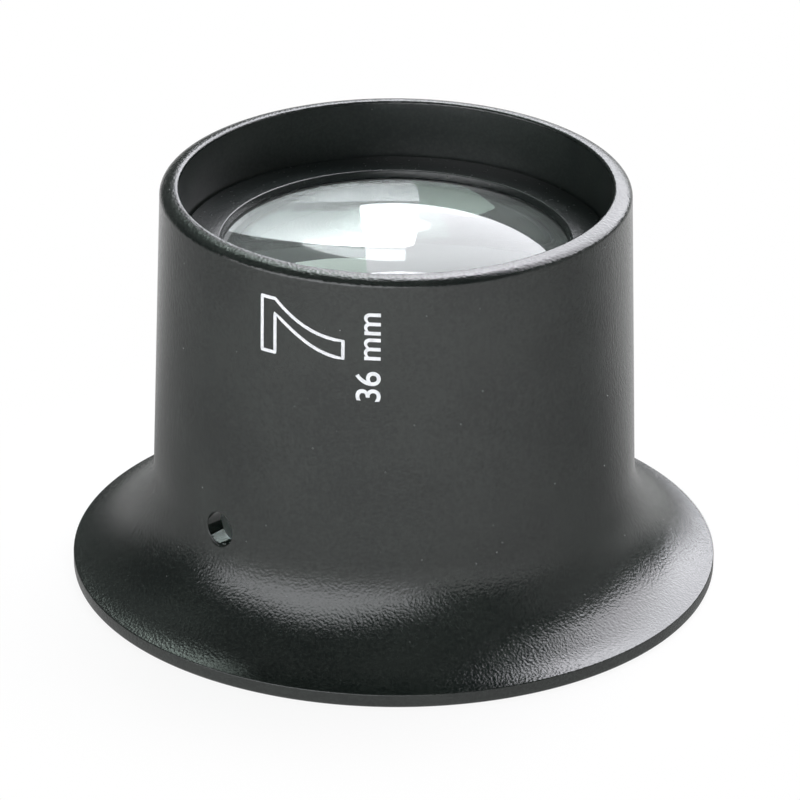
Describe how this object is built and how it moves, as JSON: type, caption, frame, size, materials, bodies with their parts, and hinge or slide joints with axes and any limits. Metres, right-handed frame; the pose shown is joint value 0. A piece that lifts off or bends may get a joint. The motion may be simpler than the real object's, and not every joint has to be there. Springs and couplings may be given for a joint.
{
  "type": "eye loupe",
  "caption": "Watchmaker's eye loupe: a flared black plastic eyecup with a screw-in cell that holds its glass lenses.",
  "frame": {"origin": "centre of the eye rim's resting face, at the bottom of the loupe", "axes": "+Z along the optical axis from the eye to the object side; -Y towards the marked side of the barrel"},
  "size_m": [0.0448, 0.0448, 0.0284],
  "materials": {
    "housing_plastic": "fine satin grain, charcoal black",
    "cell_plastic": "smooth satin, black",
    "spacer_plastic": "matte, black",
    "lens_glass": "polished, thin coating"
  },
  "bodies": {
    "housing": {"eyecup_housing": "housing_plastic"},
    "lens_pack": {"object_lens": "lens_glass", "spacer_ring": "spacer_plastic", "eye_lens": "lens_glass"},
    "cell": {"lens_cell": "cell_plastic"}
  },
  "joints": [
    {"name": "cell_lift", "type": "slide", "parent": "housing", "child": "lens_pack", "axis": [0, 0, 1], "range_m": [0, 0.00375]},
    {"name": "cell_turn", "type": "hinge", "parent": "lens_pack", "child": "cell", "pos_m": [0, 0, 0.0215], "axis": [0, 0, 1], "range_deg": [0, 1350]}
  ],
  "couplings": [
    {"joint": "cell_lift", "follows": "cell_turn", "m_per_rad": 0.00015915}
  ]
}
